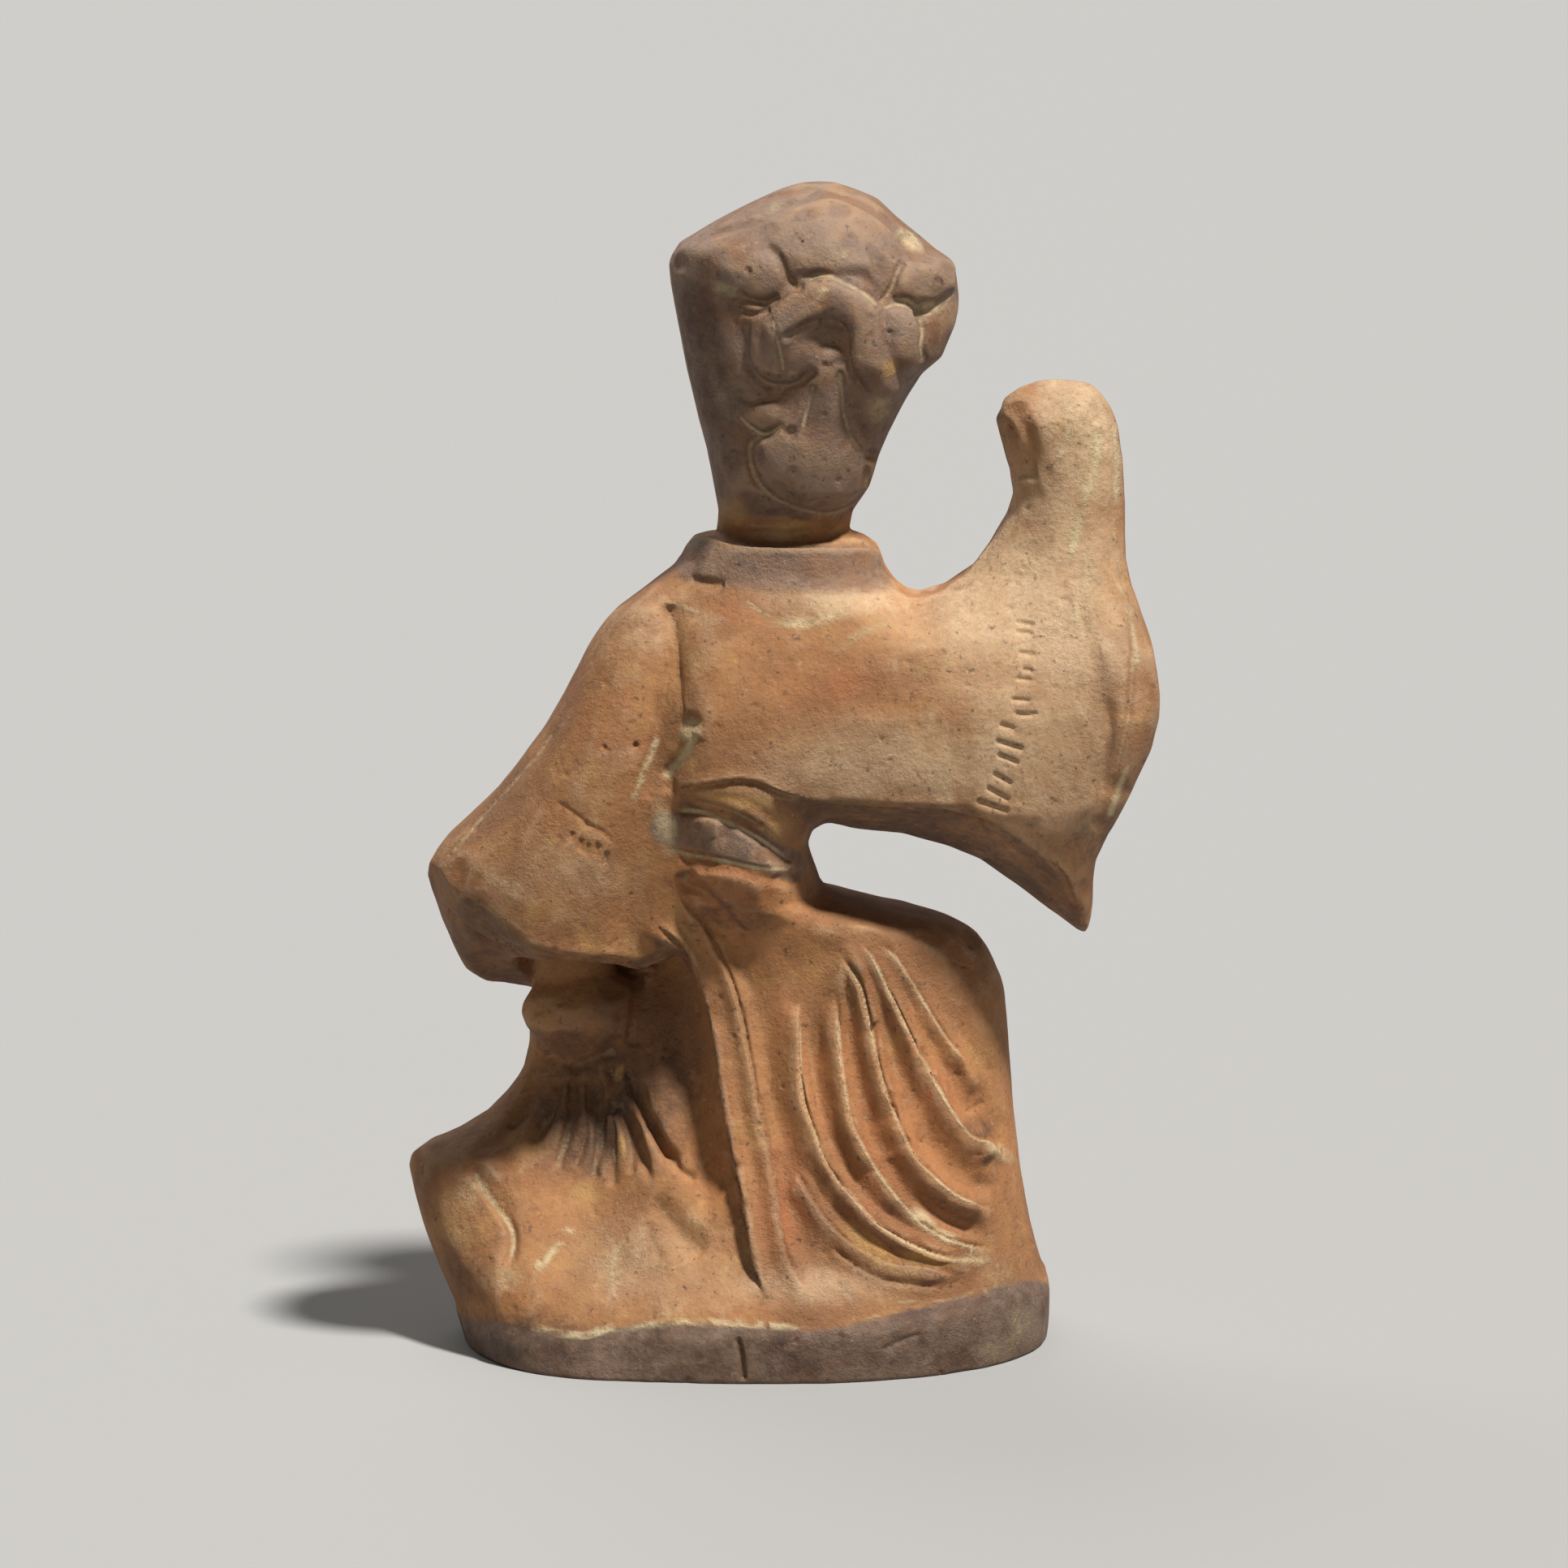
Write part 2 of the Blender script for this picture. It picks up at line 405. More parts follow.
# Unevenness of the finish, from broad clouds to single grains, in spots to the metre.
BROAD = Noise(14.0, 6.0, 0.6, 0.0)
STAINED = Noise(34.0, 8.0, 0.7, 0.6)
PATCHY = Noise(48.0, 8.0, 0.68, 0.5)
SMEARED = Noise(90.0, 8.0, 0.7, 0.0)
SMEAR = (1.0, 1.0, 0.25)
BLOTCHES = Noise(105.0, 8.0, 0.72, 0.0)
MOTTLED = Noise(150.0, 8.0, 0.7, 0.0)
FLECKS = Noise(240.0, 5.0, 0.65, 0.0)
SPECKS = Noise(300.0, 4.0, 0.6, 0.0)
CRUMBS = Noise(480.0, 5.0, 0.7, 0.0)
GRAIN = Noise(1100.0, 3.0, 0.6, 0.0)
CLAY_BUMP = (0.0024, 0.8)
CLAY_IOR = 1.45


def linear(red, green, blue):
    """A colour given as three shares of 255 on a screen, as light."""
    shares = [value / 255 for value in (red, green, blue)]
    return tuple(s / 12.92 if s <= 0.04045 else ((s + 0.055) / 1.055) ** 2.4 for s in shares)


def length(name, description, default):
    return FloatProperty(name=name, description=description, default=default, min=0.0, unit="LENGTH",
                         subtype="DISTANCE", precision=5)


def angle(name, description, degrees):
    return FloatProperty(name=name, description=description, default=math.radians(degrees), subtype="ANGLE")


def colour(name, description, *screen):
    return FloatVectorProperty(name=name, description=description, default=linear(*screen), min=0.0, max=1.0,
                               subtype="COLOR", size=3)


class ClaySizes(PropertyGroup):
    """Sizes of the worked clay."""
    grain: length("Clay grain", "Size of the smallest form that the clay keeps", 0.85 * MM)
    soften: IntProperty(name="Softening passes", description="How often the solid's facets are smoothed over",
                        default=20, min=0)
    triangles: IntProperty(name="Triangles", description="How many triangles the finished figure keeps",
                           default=190000, min=10000)
    relief: FloatProperty(name="Relief", default=1.0, min=0.0, subtype="FACTOR",
                          description="Share of the full depth that folds and locks are cut to")
    hand_wave: length("Hand waves", "How far pressing by hand leaves the surface uneven", 0.28 * MM)


class ClayColours(PropertyGroup):
    """Colours of the fired clay and of what lies on it."""
    clay: colour("Clay", "Fired clay", 172, 119, 71)
    brown: colour("Brown clay", "Darker fired clay", 130, 88, 54)
    red: colour("Red clay", "Clay that fired redder", 166, 100, 57)
    pale: colour("Pale clay", "Clay under a thin pale film", 208, 178, 140)
    slip: colour("Grey slip", "Iron-grey slip on hair, collar, belt and base", 128, 106, 90)
    soot: colour("Soot", "Blackened clay", 58, 44, 38)
    earth: colour("Earth", "Pale earth left in the grooves", 212, 192, 150)
    ochre: colour("Ochre", "Yellow earth", 186, 146, 84)


class StageSizes(PropertyGroup):
    """Floor, lights and eye."""
    floor: length("Floor", "Side of the floor", 60.0)
    floor_colour: colour("Floor colour", "Pale matt floor", 152, 150, 147)
    key_strength: FloatProperty(name="Key light", description="Strength of the light above the eye",
                                default=5.6, min=0.0)
    key_rise: angle("Key rise", "How high the light stands over the floor", 65.0)
    key_turn: angle("Key turn", "How far the light stands to the right of the eye", 50.0)
    key_spread: angle("Key spread", "How wide the light is, which softens its shadows", 7.0)
    sky: FloatProperty(name="Sky", description="Strength of the even light all round", default=0.1, min=0.0)
    fill_strength: FloatProperty(name="Fill light", description="Strength of the wide light in front",
                                 default=1.0, min=0.0)


def smooth_step(value, low, high):
    share = np.clip((value - low) / (high - low), 0.0, 1.0)
    return share * share * (3.0 - 2.0 * share)


def drawn(line, pieces=6):
    """A smooth curve through the given points."""
    points = np.array(line, float)
    stops = np.vstack([2 * points[0] - points[1], points, 2 * points[-1] - points[-2]])
    share = np.linspace(0.0, 1.0, pieces, endpoint=False)[:, None]
    rows = []
    for a, b, c, d in zip(stops, stops[1:], stops[2:], stops[3:]):
        rows.append(0.5 * (2 * b + (c - a) * share + (2 * a - 5 * b + 4 * c - d) * share ** 2
                           + (3 * b - a - 3 * c + d) * share ** 3))
    return np.vstack(rows + [points[-1:]])


def ends(along):
    """1 along a line, and less towards its two ends."""
    return smooth_step(along, 0.0, END_FADE) * smooth_step(1.0 - along, 0.0, END_FADE)


class Side:
    """One side of the figure as a sheet to draw on."""

    def __init__(self, places, facing):
        self.places = places
        self.facing = facing

    def near(self, line, reach):
        """Points within reach of a line: their numbers, distance, side of the line and place along it."""
        curve = drawn(line)
        inside = ((self.places > curve.min(0) - reach) & (self.places < curve.max(0) + reach)).all(1)
        index = np.flatnonzero(inside & (self.facing > 0))
        points = self.places[index]
        distance = np.full(len(index), np.inf)
        side = np.zeros(len(index))
        along = np.zeros(len(index))
        walked = 0.0
        for start, end in zip(curve, curve[1:]):
            step = end - start
            size = np.hypot(*step)
            share = np.clip((points - start) @ step / size ** 2, 0.0, 1.0)
            off = points - start - share[:, None] * step
            gap = np.hypot(off[:, 0], off[:, 1])
            closer = gap < distance
            distance[closer] = gap[closer]
            side[closer] = np.sign(step[0] * off[closer, 1] - step[1] * off[closer, 0])
            along[closer] = walked + share[closer] * size
            walked += size
        keep = distance < reach
        return index[keep], distance[keep], side[keep], along[keep] / walked

    def band(self, line, width, sharp):
        """How strongly each point lies in a band along a line."""
        index, distance, _, _ = self.near(line, STROKE_REACH * width)
        mask = np.zeros(len(self.places))
        mask[index] = np.exp(-(distance / width) ** sharp) * self.facing[index]
        return mask

    def oval(self, at, size, turn):
        """Square of the distance from an oval's middle, with 1 on its edge, and the points near it."""
        cos, sin = math.cos(turn), math.sin(turn)
        off = self.places - np.array(at, float)
        index = np.flatnonzero((np.abs(off) < SPOT_REACH * max(size)).all(1) & (self.facing > 0))
        off = off[index]
        across = (off[:, 0] * cos + off[:, 1] * sin) / size[0]
        up = (off[:, 1] * cos - off[:, 0] * sin) / size[1]
        return index, across ** 2 + up ** 2

    def groove(self, push, cut):
        index, distance, _, along = self.near(cut.line, STROKE_REACH * cut.width)
        push[index] -= cut.depth * np.exp(-(distance / cut.width) ** 2) * ends(along)

    def pleat(self, push, fold):
        index, distance, side, along = self.near(fold.line, fold.climb)
        off = distance * side * np.sign(fold.height)
        rise = abs(fold.height) * (1.0 - smooth_step(distance, 0.0, fold.climb))
        drop = -fold.groove * np.exp(-(distance / DROP_WIDTH) ** 2)
        share = smooth_step(off, -DROP_BLUNT, DROP_BLUNT)
        push[index] += (share * rise + (1.0 - share) * drop) * ends(along)

    def lock(self, push, form):
        index, distance, _, _ = self.near(form.line, form.width)
        bulge = np.clip(1.0 - (distance / form.width) ** 2, 0.0, 1.0)
        push[index] = np.maximum(push[index], form.proud * bulge)

    def lobe(self, push, form):
        index, square = self.oval(form.at, form.size, form.turn)
        bulge = np.clip(1.0 - square, 0.0, 1.0)
        push[index] = np.maximum(push[index], form.proud * bulge)

    def pit(self, push, hole):
        index, square = self.oval(hole.at, (hole.radius, hole.radius), 0.0)
        push[index] -= hole.depth * np.exp(-square ** SPOT_EDGE)

    def patch(self, mask, spot):
        index, square = self.oval(spot.at, spot.size, spot.turn)
        strength = spot.strength * np.exp(-square ** SPOT_EDGE)
        mask[index] = np.maximum(mask[index], strength * self.facing[index])

    def streak(self, mask, mark):
        index, distance, _, along = self.near(mark.line, STREAK_REACH * mark.width)
        strength = mark.strength * np.exp(-(distance / mark.width) ** 2) * ends(along)
        mask[index] = np.maximum(mask[index], strength * self.facing[index])


def seen_places(points):
    """Where the eye behind the figure sees each point, how far off it is and which way the eye lies."""
    ahead = np.array([0.0, math.cos(EYE_RISE), -math.sin(EYE_RISE)])
    upward = np.array([0.0, math.sin(EYE_RISE), math.cos(EYE_RISE)])
    eye = np.array(AIM) - EYE_DISTANCE * ahead
    off = points - eye
    depth = off @ ahead
    across = off[:, 0] / depth * EYE_DISTANCE + AIM[0]
    height = off @ upward / depth * EYE_DISTANCE + AIM[2]
    toward = -off / np.linalg.norm(off, axis=1)[:, None]
    return np.column_stack([across, height]), depth, toward


def nearest_layer(places, depth):
    """True for points that nothing nearer hides."""
    cells = np.floor((places - places.min(0)) / LAYER_CELL).astype(int)
    width = cells[:, 0].max() + 1
    number = cells[:, 1] * width + cells[:, 0]
    nearest = np.full(number.max() + 1, np.inf)
    np.minimum.at(nearest, number, depth)
    return depth - nearest[number] < LAYER_DEPTH


def back_side(points, normals):
    """The back as a sheet to draw on, as the eye sees it."""
    places, depth, toward = seen_places(points)
    square = (normals * toward).sum(1)
    facing = smooth_step(square, *BACK_FACING) * nearest_layer(places, depth)
    return Side(places, facing)


def front_side(points, normals):
    """The front as a sheet to draw on, looked at level."""
    places = points[:, [0, 2]]
    facing = smooth_step(normals[:, 1], *FRONT_FACING) * nearest_layer(places, -points[:, 1])
    return Side(places, facing)


def front_lines():
    """The front's cut lines with the skirt's folds, which fan out to the hem, and the lids and brows."""
    lines = list(FRONT_GROOVES)
    for share in np.linspace(0.0, 1.0, FRONT_FOLDS):
        top = FOLD_TOP[0] + share * (FOLD_TOP[1] - FOLD_TOP[0])
        foot = FOLD_FOOT[0] + share * (FOLD_FOOT[1] - FOLD_FOOT[0])
        knee = (top + FOLD_BEND * (foot - top), (FOLD_TOP[2] + FOLD_FOOT[2]) / 2)
        lines.append(Groove([(top, FOLD_TOP[2]), knee, (foot, FOLD_FOOT[2])], *FOLD_CUT))
    for x, z in EYE_PLACES:
        for rise, share, depth in EYE_LINES:
            corner = z + share * rise
            line = [(x - EYE_HALF, corner), (x, z + rise), (x + EYE_HALF, corner)]
            lines.append(Groove(line, depth, EYE_CUT_WIDTH, 0.0))
    return lines


def evened(mesh, points, passes):
    """The points drawn towards their neighbours, which rounds edges and fills grooves."""
    pairs = np.empty(2 * len(mesh.edges), np.int32)
    mesh.edges.foreach_get("vertices", pairs)
    first, second = pairs.reshape(-1, 2).T
    count = len(points)
    links = np.bincount(first, minlength=count) + np.bincount(second, minlength=count)
    even = points.copy()
    for _ in range(passes):
        around = np.column_stack([np.bincount(first, even[second, axis], count)
                                  + np.bincount(second, even[first, axis], count) for axis in range(3)])
        even = 0.5 * even + 0.5 * around / links[:, None]
    return even


def hand_unevenness(points, rng):
    """Long and short waves that pressing by hand leaves in clay."""
    total = np.zeros(len(points))
    low, high = np.log(WAVE_LENGTHS)
    for _ in range(HAND_WAVES):
        wave = math.exp(rng.uniform(low, high))
        heading = rng.normal(size=3)
        heading /= np.linalg.norm(heading)
        strength = (wave / WAVE_LENGTHS[1]) ** WAVE_FALL
        total += strength * np.sin(points @ heading * (2 * math.pi / wave) + rng.uniform(0, 2 * math.pi))
    return total / np.abs(total).max() * WAVE_HEIGHT


def only(piece):
    """Selects one object alone."""
    bpy.ops.object.select_all(action="DESELECT")
    piece.select_set(True)
    bpy.context.view_layer.objects.active = piece


def apply(piece, kind, **settings):
    """Adds a modifier with its settings and applies it."""
    only(piece)
    modifier = piece.modifiers.new(kind.title(), kind)
    for name, value in settings.items():
        setattr(modifier, name, value)
    bpy.ops.object.modifier_apply(modifier=modifier.name)


def copy_of_solid():
    """A merged copy of the figure's solid, free of it."""
    only(frame["nodes"][SOLID])
    bpy.ops.object.duplicate()
    piece = bpy.context.active_object
    bpy.ops.object.parent_clear(type="CLEAR_KEEP_TRANSFORM")
    for key in list(piece.keys()):
        del piece[key]
    piece.name = "clay_figure"
    piece.data.name = "clay_figure"
    piece.data.materials.clear()
    bpy.ops.mesh.customdata_custom_splitnormals_clear()
    bpy.ops.object.mode_set(mode="EDIT")
    bpy.ops.mesh.select_all(action="SELECT")
    bpy.ops.mesh.remove_doubles(threshold=MERGE_DISTANCE)
    bpy.ops.object.mode_set(mode="OBJECT")
    return piece


def vertex_rows(mesh, name):
    """Places or normals of a mesh, one row for each point."""
    rows = np.empty(3 * len(mesh.vertices), np.float32)
    mesh.vertices.foreach_get(name, rows)
    return rows.reshape(-1, 3).astype(float)


def work_clay(piece, sizes):
    """Presses folds, locks, cuts and pits into the softened copy."""
    mesh = piece.data
    points = vertex_rows(mesh, "co") / MM
    normals = vertex_rows(mesh, "normal")
    rng = np.random.default_rng(SEED)
    side = back_side(points, normals)
    soft = np.zeros(len(points))
    for spot in SOFT_PATCHES:
        side.patch(soft, spot)
    points += soft[:, None] * (evened(mesh, points, SOFT_PASSES) - points)
    push = np.zeros(len(points))
    for form in HAIR_LOBES:
        side.lobe(push, form)
    for form in HAIR_LOCKS:
        side.lock(push, form)
    for cut in HAIR_GROOVES + BACK_GROOVES:
        side.groove(push, cut)
    for fold in SKIRT_PLEATS + CLOTH_EDGES:
        side.pleat(push, fold)
    for line in CUFF_STROKES:
        side.groove(push, Groove(line, STROKE_DEPTH, STROKE_WIDTH, 0.0))
    for line in FAN_GROOVES:
        side.groove(push, Groove(line, FAN_DEPTH, FAN_WIDTH, 0.0))
    for hole in PITS:
        side.pit(push, hole)
    low, high = side.places.min(0), side.places.max(0)
    for _ in range(SCATTERED_PITS):
        at = rng.uniform(low, high)
        radius = rng.uniform(*PIT_RADIUS)
        side.pit(push, Pit(at, radius, rng.uniform(*PIT_DEPTH)))
    push *= side.facing
    front = front_side(points, normals)
    front_push = np.zeros(len(points))
    for cut in front_lines():
        front.groove(front_push, cut)
    push += front_push * front.facing
    push *= sizes.relief
    push += sizes.hand_wave / MM * hand_unevenness(points, rng)
    points += normals * push[:, None]
    points[:, 2] = np.maximum(points[:, 2], 0.0)
    flat = (normals[:, 2] < FOOT_FACING) & (points[:, 2] < FOOT_HEIGHT)
    points[flat, 2] = 0.0
    mesh.vertices.foreach_set("co", (points * MM).astype(np.float32).ravel())
    mesh.update()


def thin(piece, triangles):
    """Takes triangles away where the clay is plain."""
    piece.data.calc_loop_triangles()
    ratio = triangles / len(piece.data.loop_triangles)
    apply(piece, "DECIMATE", ratio=min(1.0, ratio), use_collapse_triangulate=True)


def store(mesh, name, values):
    """Keeps one value from 0 to 1 at each point of a mesh."""
    layer = mesh.attributes.new(name, "FLOAT", "POINT")
    layer.data.foreach_set("value", np.clip(values, 0.0, 1.0).astype(np.float32))


def bare_face(points):
    """1 on the face and throat, which the slip leaves bare."""
    off = points[:, :2] - np.array(FACE_AXIS)
    ahead = off[:, 1] * math.cos(FACE_TURN) - off[:, 0] * math.sin(FACE_TURN)
    across = off[:, 0] * math.cos(FACE_TURN) + off[:, 1] * math.sin(FACE_TURN)
    below = smooth_step(HAIRLINE - HAIRLINE_ARCH * across ** 2 - points[:, 2], 0.0, HAIRLINE_EDGE)
    between = smooth_step(FACE_HALF - np.abs(across), 0.0, FACE_EDGE)
    return smooth_step(ahead, *FACE_FRONT) * between * below


def lay_colours(piece):
    """Marks where slip, earth, ochre, red clay, pale film and soot lie, for the finish to read."""
    mesh = piece.data
    points = vertex_rows(mesh, "co") / MM
    normals = vertex_rows(mesh, "normal")
    side = back_side(points, normals)
    front = front_side(points, normals)
    hollow = ((evened(mesh, points, HOLLOW_PASSES) - points) * normals).sum(1)
    earth = HOLLOW_EARTH * smooth_step(hollow, *HOLLOW_DEPTHS)
    for cut in HAIR_GROOVES + BACK_GROOVES:
        side.streak(earth, Streak(cut.line, GROOVE_EARTH_WIDTH * cut.width, cut.earth))
    for cut in front_lines():
        front.streak(earth, Streak(cut.line, GROOVE_EARTH_WIDTH * cut.width, cut.earth))
    for fold in SKIRT_PLEATS:
        side.streak(earth, Streak(fold.line, PLEAT_LINE_WIDTH, fold.earth))
    for mark in EARTH_STREAKS:
        side.streak(earth, mark)
    for spot in EARTH_PATCHES:
        side.patch(earth, spot)
    masks = {}
    for name, spots in COLOUR_PATCHES.items():
        masks[name] = np.zeros(len(points))
        for spot in spots:
            side.patch(masks[name], spot)
    for fold in SKIRT_PLEATS:
        side.streak(masks["soot"], Streak(fold.line, PLEAT_LINE_WIDTH, PLEAT_SOOT * (1.0 - fold.earth)))
    rim_top = np.interp(side.places[:, 0], *np.array(RIM_LINE, float).T)
    ahead = smooth_step(points[:, 1], *RIM_TURN)
    below = (1.0 - ahead) * (rim_top - side.places[:, 1]) + ahead * (FRONT_RIM - points[:, 2])
    rim = smooth_step(below, *RIM_EDGE)
    covered = 1.0 - bare_face(points)
    hair = smooth_step(points[:, 2], HAIR_LOW, HAIR_LOW + HAIR_FADE)
    hair *= smooth_step(HAIR_RIGHT - points[:, 0], 0.0, HAIR_EDGE)
    hair *= covered
    slip = np.maximum(hair, rim)
    slip = np.maximum(slip, side.band(BELT_BAND, BELT_WIDTH, BELT_SHARPNESS))
    slip = np.maximum(slip, COLLAR_SLIP * side.band(COLLAR_BAND, COLLAR_WIDTH, COLLAR_SHARPNESS))
    under = UNDERSIDE_SOOT * smooth_step(-normals[:, 2], *UNDERSIDE_FACING) * covered
    masks["soot"] = np.maximum(masks["soot"], np.maximum(RIM_SOOT * rim, under))
    store(mesh, "slip", slip)
    store(mesh, "earth", earth)
    store(mesh, "worn", smooth_step(-hollow, *HOLLOW_DEPTHS))
    for name, values in masks.items():
        store(mesh, name, values)


class Value:
    """A socket that Python sums can be written on."""

    def __init__(self, finish, socket):
        self.finish = finish
        self.socket = socket

    def __add__(self, other):
        return self.finish.sum("ADD", self, other)

    def __radd__(self, other):
        return self.finish.sum("ADD", other, self)

    def __sub__(self, other):
        return self.finish.sum("SUBTRACT", self, other)

    def __rsub__(self, other):
        return self.finish.sum("SUBTRACT", other, self)

    def __mul__(self, other):
        return self.finish.sum("MULTIPLY", self, other)

    def __rmul__(self, other):
        return self.finish.sum("MULTIPLY", other, self)


class Finish:
    """One material's nodes."""

    def __init__(self, name):
        self.material = bpy.data.materials.new(name)
        self.material.use_nodes = True
        self.tree = self.material.node_tree
        self.tree.nodes.clear()

    def node(self, kind, settings=None, inputs=None, output=0):
        """Makes any node: its settings first, then its sockets' values or links."""
        made = self.tree.nodes.new(kind)
        for name, value in (settings or {}).items():
            setattr(made, name, value)
        for name, value in (inputs or {}).items():
            socket = made.inputs[name]
            if isinstance(value, Value):
                self.tree.links.new(value.socket, socket)
            else:
                socket.default_value = value
        return Value(self, made.outputs[output]) if made.outputs else made

    def sum(self, operation, first, second):
        return self.node("ShaderNodeMath", {"operation": operation}, {0: first, 1: second})

    def places(self):
        return self.node("ShaderNodeTexCoord", output="Object")

    def attribute(self, name):
        return self.node("ShaderNodeAttribute", {"attribute_name": name}, output="Fac")

    def noise(self, places, grain):
        return self.node("ShaderNodeTexNoise", {"noise_dimensions": "3D"},
                         {"Vector": places, "Scale": grain.scale, "Detail": grain.detail,
                          "Roughness": grain.rough, "Distortion": grain.distortion}, "Fac")

    def step(self, value, low, high):
        """A smooth rise from 0 to 1 between two values."""
        return self.node("ShaderNodeMapRange", {"interpolation_type": "SMOOTHSTEP"},
                         {"Value": value, "From Min": low, "From Max": high})

    def blend(self, share, first, second, mode="MIX"):
        """One colour over another."""
        inputs = {0: share}
        for number, tint in ((6, first), (7, second)):
            inputs[number] = tint if isinstance(tint, Value) else (*tint, 1.0)
        return self.node("ShaderNodeMix", {"data_type": "RGBA", "blend_type": mode}, inputs, 2)

    def stretch(self, places, scale):
        return self.node("ShaderNodeVectorMath", {"operation": "MULTIPLY"}, {0: places, 1: scale})

    def shift(self, places, by):
        return self.node("ShaderNodeVectorMath", {"operation": "ADD"}, {0: places, 1: (by, by, by)})

    def bump(self, height, distance, strength):
        return self.node("ShaderNodeBump", None,
                         {"Height": height, "Distance": distance, "Strength": strength})

    def surface(self, inputs):
        """Closes the material with its shader."""
        shader = self.node("ShaderNodeBsdfPrincipled", None, inputs)
        self.node("ShaderNodeOutputMaterial", None, {"Surface": shader})
        return self.material


def fired_clay(colours):
    """Weathered earthenware with slip, earth, ochre and soot on it."""
    finish = Finish("weathered_earthenware")
    at = finish.places()
    broad = finish.noise(at, BROAD)
    patchy = finish.noise(at, PATCHY)
    mottled = finish.noise(at, MOTTLED)
    crumbs = finish.noise(at, CRUMBS)
    grain = finish.noise(at, GRAIN)
    specks = finish.noise(finish.shift(at, 3.0), SPECKS)
    blotches = finish.noise(finish.shift(at, 5.0), BLOTCHES)
    flecks = finish.noise(finish.shift(at, 7.0), FLECKS)
    stained = finish.noise(finish.shift(at, 9.0), STAINED)
    smeared = finish.noise(finish.stretch(at, SMEAR), SMEARED)
    torn = finish.step(0.5 * patchy + 0.3 * mottled + 0.2 * crumbs, 0.3, 0.7)
    tint = finish.blend(finish.step(broad, 0.3, 0.7), colours.clay, colours.brown)
    tint = finish.blend(0.35 * finish.step(stained, 0.5, 0.68), tint, colours.ochre)
    tint = finish.blend(0.4 * finish.step(patchy, 0.52, 0.7), tint, colours.red)
    reddened = finish.step(finish.attribute("red_clay") * (0.3 + torn), 0.0, 1.1)
    tint = finish.blend(0.75 * reddened, tint, colours.red)
    pale = finish.attribute("pale_film") * (0.4 + torn) + 0.45 * finish.step(smeared, 0.5, 0.8)
    tint = finish.blend(0.8 * finish.step(pale, 0.0, 1.1), tint, colours.pale)
    tint = finish.blend(0.55 * finish.step(mottled, 0.5, 0.75), tint, colours.brown)
    slip = finish.step(finish.attribute("slip") * (0.6 + 0.7 * torn), 0.3, 0.8)
    slip_tint = finish.blend(0.8 * finish.step(patchy, 0.4, 0.66), colours.slip, colours.brown)
    slip_tint = finish.blend(0.45 * finish.step(mottled, 0.46, 0.7), slip_tint, colours.soot)
    tint = finish.blend(0.92 * slip, tint, slip_tint)
    worn = finish.attribute("worn") * (0.2 + torn)
    tint = finish.blend(0.3 * finish.step(worn, 0.1, 1.1), tint, colours.pale)
    soot = finish.step(finish.attribute("soot") * (0.3 + 1.1 * torn), 0.05, 1.0)
    tint = finish.blend(0.8 * soot, tint, colours.soot)
    tint = finish.blend(0.5 * finish.step(blotches, 0.58, 0.76), tint, colours.soot)
    tint = finish.blend(0.65 * finish.step(specks, 0.6, 0.72), tint, colours.soot)
    ochre = finish.step(finish.attribute("ochre") * (0.2 + 1.1 * torn), 0.2, 0.95)
    tint = finish.blend(0.7 * ochre, tint, colours.ochre)
    tint = finish.blend(0.45 * finish.step(flecks, 0.64, 0.78), tint, colours.earth)
    ragged = 0.25 + 0.8 * torn + 0.2 * finish.step(crumbs, 0.3, 0.7)
    earth = finish.step(finish.attribute("earth") * ragged, 0.16, 0.78)
    tint = finish.blend(0.72 * earth, tint, colours.earth)
    tint = finish.blend(0.35 * finish.step(crumbs, 0.42, 0.7), tint, colours.brown)
    rough = 0.74 + 0.2 * earth - 0.12 * slip + 0.3 * (mottled - 0.5)
    coarse = finish.step(broad, 0.35, 0.65)
    relief = finish.bump(0.5 * mottled + coarse * (0.5 * crumbs + 0.2 * grain) + 0.2 * earth, *CLAY_BUMP)
    return finish.surface({"Base Color": tint, "Roughness": rough, "Normal": relief, "IOR": CLAY_IOR})


def plain(name, tint, roughness):
    return Finish(name).surface({"Base Color": (*tint, 1.0), "Roughness": roughness})


class POTTERY_OT_make_figure(Operator):
    """Model the clay figure over its solid, with its folds, locks, wear and finish"""
    bl_idname = "pottery.make_figure"
    bl_label = "Clay figure"

    def execute(self, context):
        sizes = context.scene.clay_sizes
        piece = copy_of_solid()
        apply(piece, "REMESH", mode="VOXEL", voxel_size=sizes.grain, use_smooth_shade=True)
        apply(piece, "SMOOTH", factor=0.5, iterations=sizes.soften)
        work_clay(piece, sizes)
        thin(piece, sizes.triangles)
        lay_colours(piece)
        piece.data.materials.append(fired_clay(context.scene.clay_colours))
        only(piece)
        bpy.ops.object.shade_smooth()
        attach(piece, "root")
        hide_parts(SOLID)
        return {"FINISHED"}


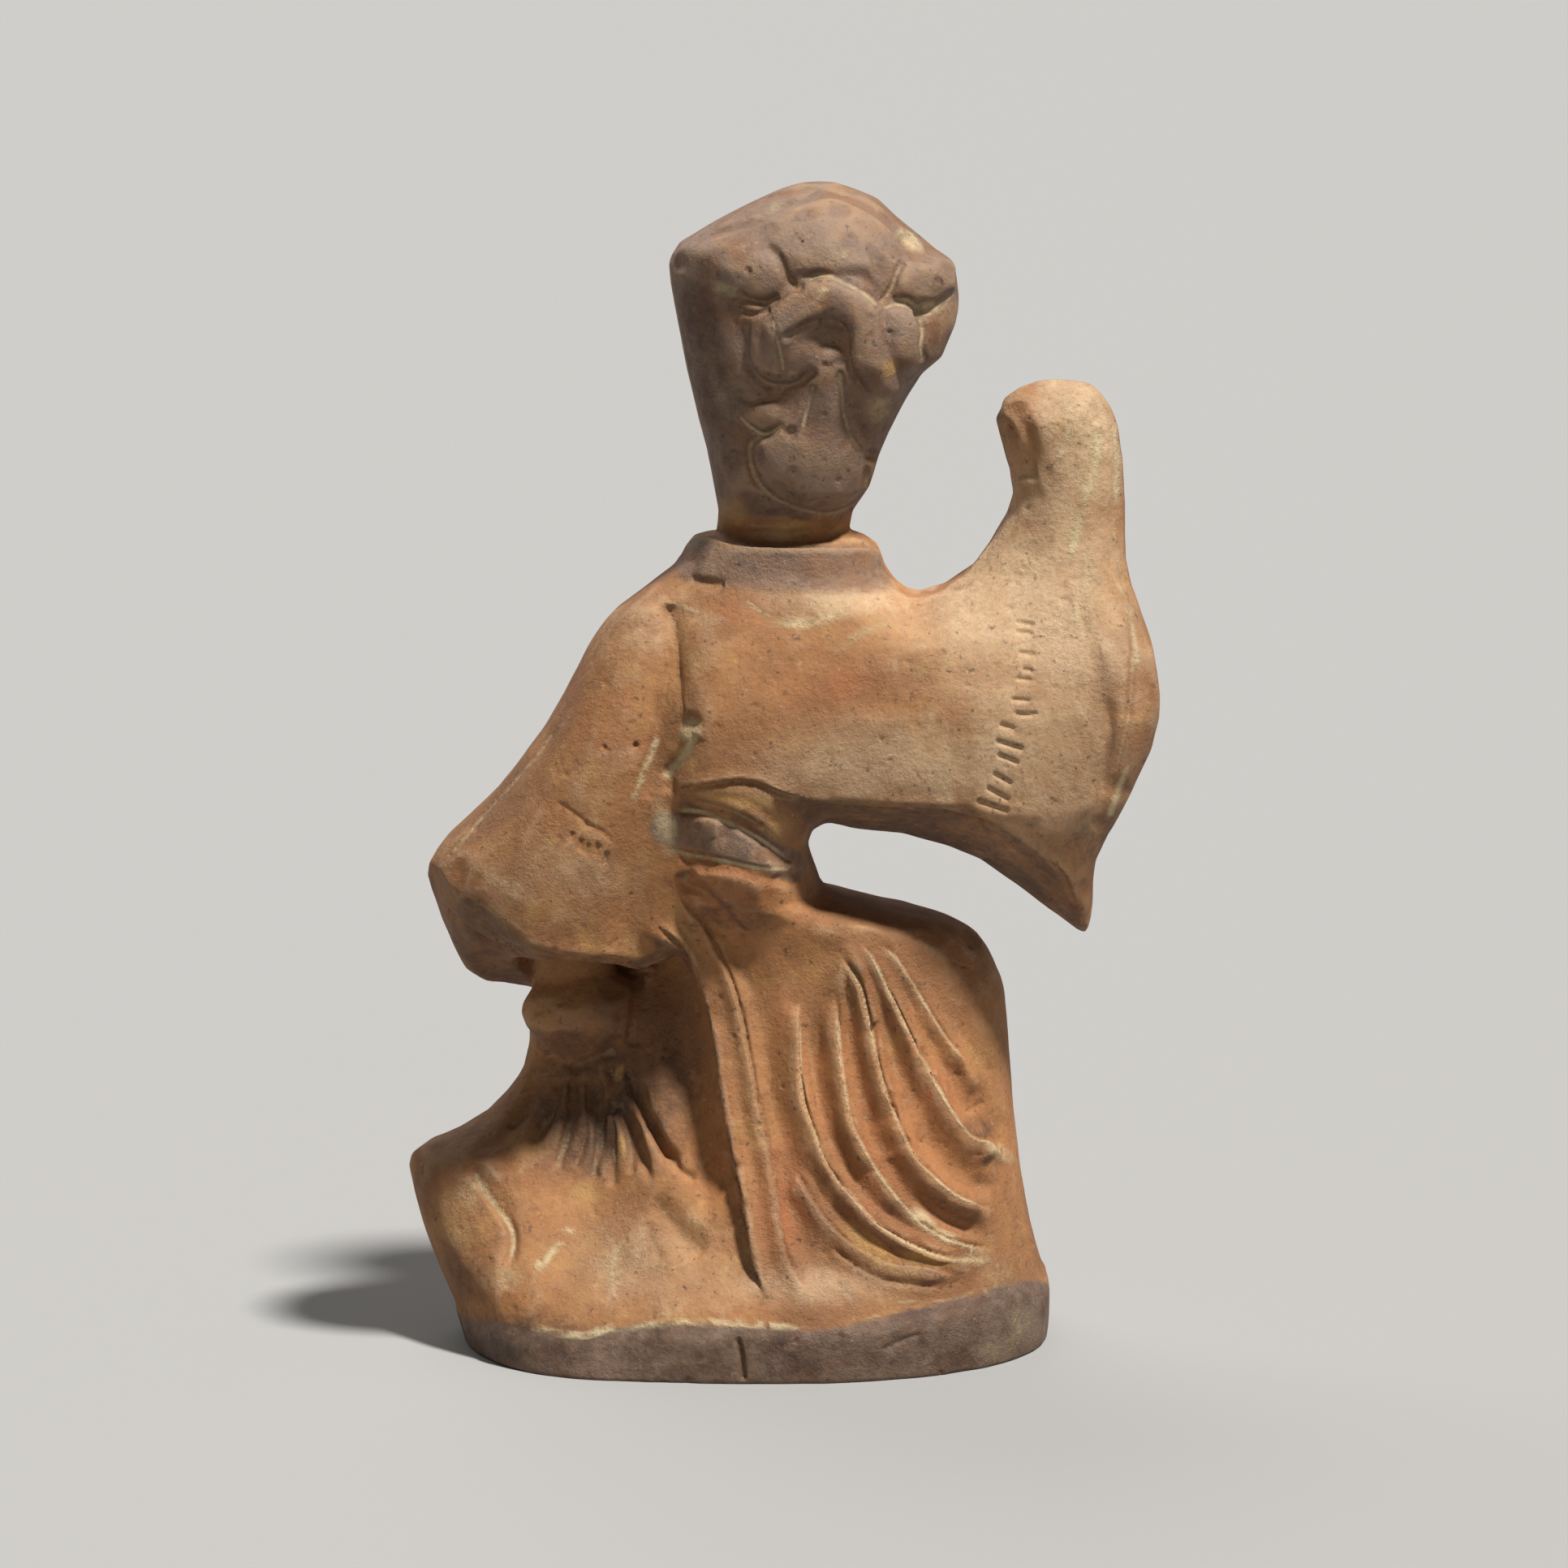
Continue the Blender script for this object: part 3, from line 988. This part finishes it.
class POTTERY_OT_set_stage(Operator):
    """Lay the floor and set the lights and the eye"""
    bl_idname = "pottery.set_stage"
    bl_label = "Stage"

    def execute(self, context):
        stage = context.scene.stage_sizes
        bpy.ops.object.select_all(action="DESELECT")
        bpy.ops.mesh.primitive_plane_add(size=stage.floor)
        floor = context.active_object
        floor.name = "floor"
        floor.data.materials.append(plain("pale_floor", stage.floor_colour, FLOOR_ROUGHNESS))
        self.light("key_light", stage.key_strength, stage.key_rise, stage.key_turn, stage.key_spread)
        self.light("fill_light", stage.fill_strength, *FILL_PLACE)
        world = bpy.data.worlds.new("even_light")
        world.use_nodes = True
        background = world.node_tree.nodes["Background"]
        background.inputs["Color"].default_value = SKY_TINT
        background.inputs["Strength"].default_value = stage.sky
        context.scene.world = world
        context.scene.view_settings.view_transform = "Standard"
        self.eye(context)
        return {"FINISHED"}

    def light(self, name, strength, rise, turn, spread):
        """A far light, turned to the right from the eye's side of the figure."""
        level = math.cos(rise)
        toward = Vector((level * math.sin(turn), -level * math.cos(turn), math.sin(rise)))
        bpy.ops.object.light_add(type="SUN", location=toward)
        lamp = bpy.context.active_object
        lamp.name = name
        lamp.data.energy = strength
        lamp.data.angle = spread
        lamp.rotation_euler = toward.to_track_quat("Z", "Y").to_euler()

    def eye(self, context):
        """The eye behind the figure, a little above it."""
        middle = Vector(AIM) * MM
        away = Vector((0.0, -math.cos(EYE_RISE), math.sin(EYE_RISE)))
        bpy.ops.object.camera_add(location=middle + EYE_DISTANCE * MM * away,
                                  rotation=(math.pi / 2 - EYE_RISE, 0.0, 0.0))
        camera = context.active_object
        camera.data.lens_unit = "FOV"
        camera.data.angle = 2 * math.atan(VIEW_WIDTH / 2 / EYE_DISTANCE)
        context.scene.camera = camera


class POTTERY_PT_figure(Panel):
    """Sizes, colours and steps of the figure"""
    bl_idname = "POTTERY_PT_figure"
    bl_label = "Pottery dancer figure"
    bl_space_type = "VIEW_3D"
    bl_region_type = "UI"
    bl_category = "Pottery"

    def draw(self, context):
        for operator in OPERATORS:
            self.layout.operator(operator.bl_idname)
        for group in (context.scene.clay_sizes, context.scene.clay_colours, context.scene.stage_sizes):
            for name in group.__annotations__:
                self.layout.prop(group, name)


GROUPS = {"clay_sizes": ClaySizes, "clay_colours": ClayColours, "stage_sizes": StageSizes}
OPERATORS = [POTTERY_OT_make_figure, POTTERY_OT_set_stage]


def register():
    for cls in [*GROUPS.values(), *OPERATORS, POTTERY_PT_figure]:
        bpy.utils.register_class(cls)
    for name, cls in GROUPS.items():
        setattr(bpy.types.Scene, name, PointerProperty(type=cls))


def unregister():
    for name in GROUPS:
        delattr(bpy.types.Scene, name)
    for cls in reversed([*GROUPS.values(), *OPERATORS, POTTERY_PT_figure]):
        bpy.utils.unregister_class(cls)


def main():
    register()
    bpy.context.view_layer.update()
    bpy.ops.pottery.make_figure()
    bpy.ops.pottery.set_stage()


if __name__ == "__main__":
    main()
